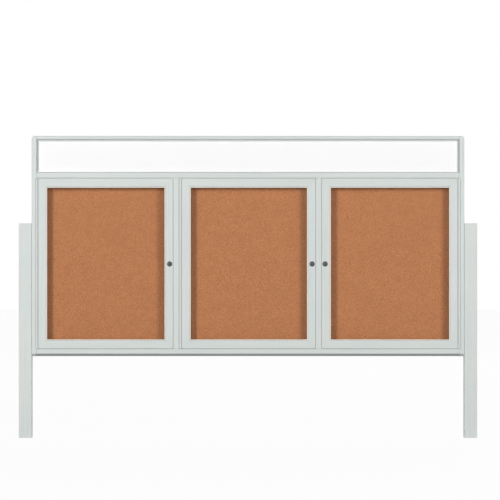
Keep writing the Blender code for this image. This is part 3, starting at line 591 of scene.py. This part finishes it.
def make_hinge_screws(number):
    """Flush screw heads along both leaves, seen when the door is open."""
    pin_low, pin_high = span(f"hinge_{number}_pin")
    centre_x = (pin_low.x + pin_high.x) / 2
    first_z = pin_low.z + HINGE_SCREW_END
    pitch = (pin_high.z - HINGE_SCREW_END - first_z) / (HINGE_SCREWS - 1)
    for leaf, body in (("case_leaf", "case"), ("door_leaf", f"door_{number}")):
        near, far = sorted(plate_side(f"hinge_{number}_{leaf}"),
                           key=lambda x: abs(x - centre_x))
        side = 1 if near > far else -1
        bm, cutters = bmesh.new(), bmesh.new()
        for k in range(HINGE_SCREWS):
            place = (near, FRONT_Y + HINGE_SCREW_SETBACK, first_z + k * pitch)
            add_screw_head(bm, cutters, place, side, HINGE_SCREW_RADIUS, HINGE_SCREW_HEAD,
                           HINGE_SCREW_RIM, HINGE_SCREW_CROSS)
        screws = add_piece(f"hinge_{number}_{leaf}_screws", bm, steel_finish, body)
        cut_piece(screws, cutters)


LOCK_SIDES = 48
LOCK_CLEARANCE = 0.0003         # between plug and housing, and behind the housing's collar
SHANK_RADIUS = 0.0092           # of the housing behind its collar
# The collar's section: distances out from its bore, then in from its rim, each with its
# depth behind the face
COLLAR_BORE = ((0, 0.0006), (0.0004, 0.0001))
COLLAR_RIM = ((0.0016, 0), (0.0005, 0.0004), (0, 0.0012))
PLUG_SETBACK = 0.0002
PLUG_CHAMFER = 0.0003
NECK_RADIUS = 0.0039
NECK_OVERLAP = 0.0010
NECK_SIDES = 6
NECK_CHAMFER = 0.0002
KEYWAY = (0.0012, 0.0074, 0.0040)   # width, height and depth
KEYWAY_REACH = 0.002                # of the cutter in front of the plug


def make_lock_face(number):
    """Turned lock housing with a bevelled rim, and its plug with a keyway."""
    low, high = span(f"lock_{number}_housing")
    plug_low, plug_high = span(f"lock_{number}_plug")
    centre = (low + high) / 2
    face_radius = (high.x - low.x) / 2
    plug_radius = (plug_high.x - plug_low.x) / 2
    bore = plug_radius + LOCK_CLEARANCE
    collar_back = FRONT_Y - LOCK_CLEARANCE
    profile = [(bore + out, low.y + depth) for out, depth in COLLAR_BORE]
    profile += [(face_radius - inset, low.y + depth) for inset, depth in COLLAR_RIM]
    profile += [(face_radius, collar_back), (SHANK_RADIUS, collar_back),
                (SHANK_RADIUS, high.y), (bore, high.y)]
    bm = bmesh.new()
    verts = [bm.verts.new((centre.x + r, y, centre.z)) for r, y in profile]
    edges = [bm.edges.new((verts[i - 1], verts[i])) for i in range(len(verts))]
    bmesh.ops.spin(bm, geom=verts + edges, cent=centre, axis=(0, 1, 0), dvec=(0, 0, 0),
                   angle=math.tau, steps=LOCK_SIDES, use_merge=True)
    add_piece(f"lock_{number}_housing_fine", bm, lock_finish, f"door_{number}",
              (f"lock_{number}_housing",))

    middle = (plug_low + plug_high) / 2
    neck_start = span(f"lock_{number}_cam")[0].y
    bm = bmesh.new()
    add_cylinder(bm, middle, 'Y', plug_radius, plug_low.y + PLUG_SETBACK,
                 neck_start - LOCK_CLEARANCE, LOCK_SIDES, PLUG_CHAMFER)
    add_cylinder(bm, middle, 'Y', NECK_RADIUS, neck_start - NECK_OVERLAP, plug_high.y,
                 NECK_SIDES, NECK_CHAMFER)
    plug = add_piece(f"lock_{number}_plug_fine", bm, lock_finish, f"lock_{number}",
                     (f"lock_{number}_plug",))
    width, height, depth = KEYWAY
    cutters = bmesh.new()
    add_box(cutters, (middle.x - width / 2, plug_low.y - KEYWAY_REACH, middle.z - height / 2),
            (middle.x + width / 2, plug_low.y + depth, middle.z + height / 2))
    cut_piece(plug, cutters)


FLOOR_HALF = 30
FLOOR_Z = -0.0005
FLOOR_SEEN_WHITE = 0.97         # share of plain white in what the camera sees of the floor


def make_floor():
    """Pale floor: white to the camera, with a faint shadow of the object."""
    bm = bmesh.new()
    bmesh.ops.create_grid(bm, x_segments=2, y_segments=2, size=FLOOR_HALF)
    mesh = bpy.data.meshes.new("floor")
    bm.to_mesh(mesh)
    bm.free()
    floor = bpy.data.objects.new("floor", mesh)
    floor.location.z = FLOOR_Z
    bpy.context.scene.collection.objects.link(floor)
    made = new_material("floor", (0.50, 0.50, 0.50), roughness=0.9)
    rays = add_node(made, "ShaderNodeLightPath")
    glow = add_node(made, "ShaderNodeEmission")
    seen = add_node(made, "ShaderNodeMath", operation='MAXIMUM')
    share = add_node(made, "ShaderNodeMath", operation='MULTIPLY')
    share.inputs[1].default_value = FLOOR_SEEN_WHITE
    total = add_node(made, "ShaderNodeMixShader")
    link(made, rays, "Is Camera Ray", seen, 0)
    link(made, rays, "Is Glossy Ray", seen, 1)
    link(made, seen, "Value", share, 0)
    link(made, share, "Value", total, 0)
    link(made, shader_of(made), "BSDF", total, 1)
    link(made, glow, "Emission", total, 2)
    link(made, total, "Shader", made.node_tree.nodes["Material Output"], "Surface")
    mesh.materials.append(made)


AMBIENT = 0.05
LAMP_DISTANCE = 12.0
LAMP_TARGET = Vector((0, 0, 0.86))
# Name, azimuth from the front towards +X, elevation, width and height in metres, watts
LAMPS = (("left_soft_box", -28, 10, (2.1, 3.6), 680),
         ("right_soft_box", 31, 10, (3.7, 3.8), 592),
         ("back_soft_box", 165, 28, (4.0, 4.0), 590))


def make_world():
    """White surroundings for what the eye, metal and glass see; soft fill for the rest."""
    world = bpy.data.worlds.new("studio")
    bpy.context.scene.world = world
    world.use_nodes = True
    back = world.node_tree.nodes["Background"]
    back.inputs["Color"].default_value = (1, 1, 1, 1)
    rays = add_node(world, "ShaderNodeLightPath")
    seen = add_node(world, "ShaderNodeMath", operation='MAXIMUM')
    seen_through = add_node(world, "ShaderNodeMath", operation='MAXIMUM')
    level = add_node(world, "ShaderNodeMapRange")
    level.inputs["To Min"].default_value = AMBIENT
    level.inputs["To Max"].default_value = 1.0
    link(world, rays, "Is Camera Ray", seen, 0)
    link(world, rays, "Is Glossy Ray", seen, 1)
    link(world, seen, "Value", seen_through, 0)
    link(world, rays, "Is Transmission Ray", seen_through, 1)
    link(world, seen_through, "Value", level, "Value")
    link(world, level, "Result", back, "Strength")


def add_lamp(name, azimuth, elevation, size, power):
    """Soft box aimed at the case."""
    lamp = bpy.data.lights.new(name, 'AREA')
    lamp.shape = 'RECTANGLE'
    lamp.size, lamp.size_y = size
    lamp.energy = power
    holder = bpy.data.objects.new(name, lamp)
    bpy.context.scene.collection.objects.link(holder)
    around, up = math.radians(azimuth), math.radians(elevation)
    direction = Vector((math.sin(around) * math.cos(up), -math.cos(around) * math.cos(up),
                        math.sin(up)))
    holder.location = LAMP_TARGET + direction * LAMP_DISTANCE
    holder.rotation_euler = direction.to_track_quat('Z', 'Y').to_euler()


# The photograph's scale, and the pixels that set where the camera looks
PHOTO_SIZE = 500                # pixels each way
METRES_PER_PIXEL = 0.0049275
PHOTO_CASE_CENTRE_X = 248.0     # pixel column of the case's middle
PHOTO_GROUND_Y = 438.0          # pixel row of the posts' feet
CAMERA_DISTANCE = 14.0
SENSOR_WIDTH = 36.0             # millimetres, as Blender's lenses are
SIGHT = 200


def make_camera():
    """Level long-lens view at the photograph's scale, square to the doors."""
    lens = bpy.data.cameras.new("camera")
    view = bpy.data.objects.new("camera", lens)
    bpy.context.scene.collection.objects.link(view)
    middle = PHOTO_SIZE / 2
    x = (middle - PHOTO_CASE_CENTRE_X) * METRES_PER_PIXEL
    z = (PHOTO_GROUND_Y - middle) * METRES_PER_PIXEL
    view.location = (x, FRONT_Y - CAMERA_DISTANCE, z)
    view.rotation_euler = (math.pi / 2, 0, 0)
    lens.sensor_width = SENSOR_WIDTH
    lens.lens = SENSOR_WIDTH * CAMERA_DISTANCE / (PHOTO_SIZE * METRES_PER_PIXEL)
    lens.clip_end = SIGHT
    bpy.context.scene.camera = view


bpy.context.scene.view_settings.view_transform = 'Standard'
dress_nodes()
for door_number in DOOR_NUMBERS:
    make_fine_hinge(door_number)
    make_lock_face(door_number)
    make_fine_gasket(door_number)
    make_hinge_screws(door_number)
make_header_retainer()
make_drip_shade_flap()
make_frame_screws()
make_floor()
make_world()
for settings in LAMPS:
    add_lamp(*settings)
make_camera()
